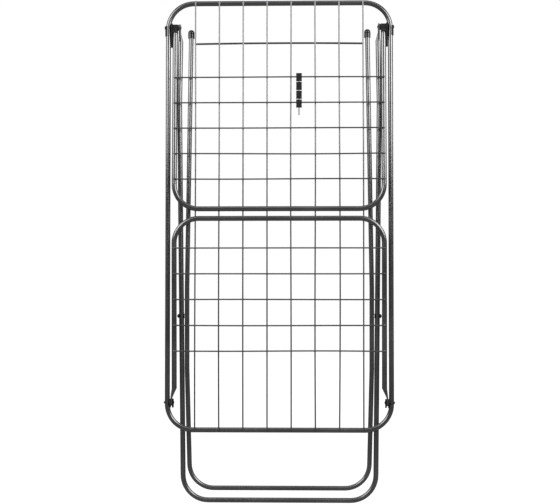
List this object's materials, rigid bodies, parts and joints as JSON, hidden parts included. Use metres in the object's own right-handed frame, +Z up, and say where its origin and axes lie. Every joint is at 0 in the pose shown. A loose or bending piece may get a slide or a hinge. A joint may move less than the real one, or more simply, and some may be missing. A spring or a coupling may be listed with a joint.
{
  "type": "folding clothes airer",
  "caption": "Winged folding clothes airer in coated steel tube and wire, folded flat: deck, hinged wings, crossing U-shaped legs and a hanger holder.",
  "frame": {"origin": "centre of the deck's top rail, by which the folded airer hangs on a hook", "axes": "+X across the airer to its right, -Y out of the drying face, +Z up along the folded deck towards the top rail"},
  "size_m": [0.5674, 0.0451, 1.235],
  "materials": {
    "coated_tube": "glossy metallic charcoal coating",
    "coated_wire": "glossy metallic charcoal coating on thin wire",
    "rivet_steel": "zinc plated, satin",
    "hinge_plastic": "black moulded plastic",
    "grip_plastic": "black moulded plastic, dull",
    "cap_plastic": "black moulded plastic, satin gloss"
  },
  "bodies": {
    "deck": {"deck_frame": "coated_tube", "deck_bottom_rail": "coated_tube", "deck_wires": "coated_wire", "deck_cross_wire": "coated_wire", "upper_hinge_block_left": "hinge_plastic", "upper_hinge_block_right": "hinge_plastic", "upper_hinge_pin_left": "rivet_steel", "upper_hinge_pin_right": "rivet_steel", "upper_hinge_washer_left": "hinge_plastic", "upper_hinge_washer_right": "hinge_plastic", "lower_hinge_spacer_left": "hinge_plastic", "lower_hinge_spacer_right": "hinge_plastic", "lower_hinge_rivet_left": "rivet_steel", "lower_hinge_rivet_right": "rivet_steel"},
    "upper_wing": {"upper_wing_frame": "coated_tube", "upper_wing_wires": "coated_wire", "upper_wing_knuckle_left": "hinge_plastic", "upper_wing_knuckle_right": "hinge_plastic", "hanger_rod": "coated_wire", "hanger_grip_1": "grip_plastic", "hanger_grip_2": "grip_plastic", "hanger_grip_3": "grip_plastic", "hanger_grip_4": "grip_plastic"},
    "lower_wing": {"lower_wing_frame": "coated_tube", "lower_wing_wires": "coated_wire", "lower_wing_cheek_left": "hinge_plastic", "lower_wing_cheek_right": "hinge_plastic"},
    "outer_leg": {"outer_leg_frame": "coated_tube", "scissor_pin_left": "rivet_steel", "scissor_pin_right": "rivet_steel", "scissor_cap_left": "cap_plastic", "scissor_cap_right": "cap_plastic", "scissor_washer_left": "hinge_plastic", "scissor_washer_right": "hinge_plastic"},
    "inner_leg_caps": {"inner_leg_cap_left": "cap_plastic", "inner_leg_cap_right": "cap_plastic"},
    "inner_leg": {"inner_leg_frame": "coated_tube", "inner_leg_ferrule_left": "cap_plastic", "inner_leg_ferrule_right": "cap_plastic"}
  },
  "joints": [
    {"name": "upper_wing_fold", "type": "hinge", "parent": "deck", "child": "upper_wing", "pos_m": [0, 0, -0.06], "axis": [1, 0, 0], "range_deg": [-156, 0]},
    {"name": "lower_wing_fold", "type": "hinge", "parent": "deck", "child": "lower_wing", "pos_m": [0, 0, -0.983], "axis": [1, 0, 0], "range_deg": [0, 156]},
    {"name": "outer_leg_fold", "type": "hinge", "parent": "deck", "child": "outer_leg", "pos_m": [0, 0, -0.06], "axis": [1, 0, 0], "range_deg": [0, 45.34]},
    {"name": "inner_leg_travel", "type": "slide", "parent": "deck", "child": "inner_leg_caps", "axis": [0, 0.0112, -0.9999], "range_m": [0, 0.96696]},
    {"name": "inner_leg_turn", "type": "hinge", "parent": "inner_leg_caps", "child": "inner_leg", "pos_m": [0, 0.00018, -0.0735], "axis": [1, 0, 0], "range_deg": [0, 133.4]}
  ],
  "couplings": [
    {"joint": "inner_leg_travel", "follows": "outer_leg_fold", "m_per_rad": 1.2206},
    {"joint": "inner_leg_turn", "follows": "outer_leg_fold", "ratio": 2.9397}
  ]
}
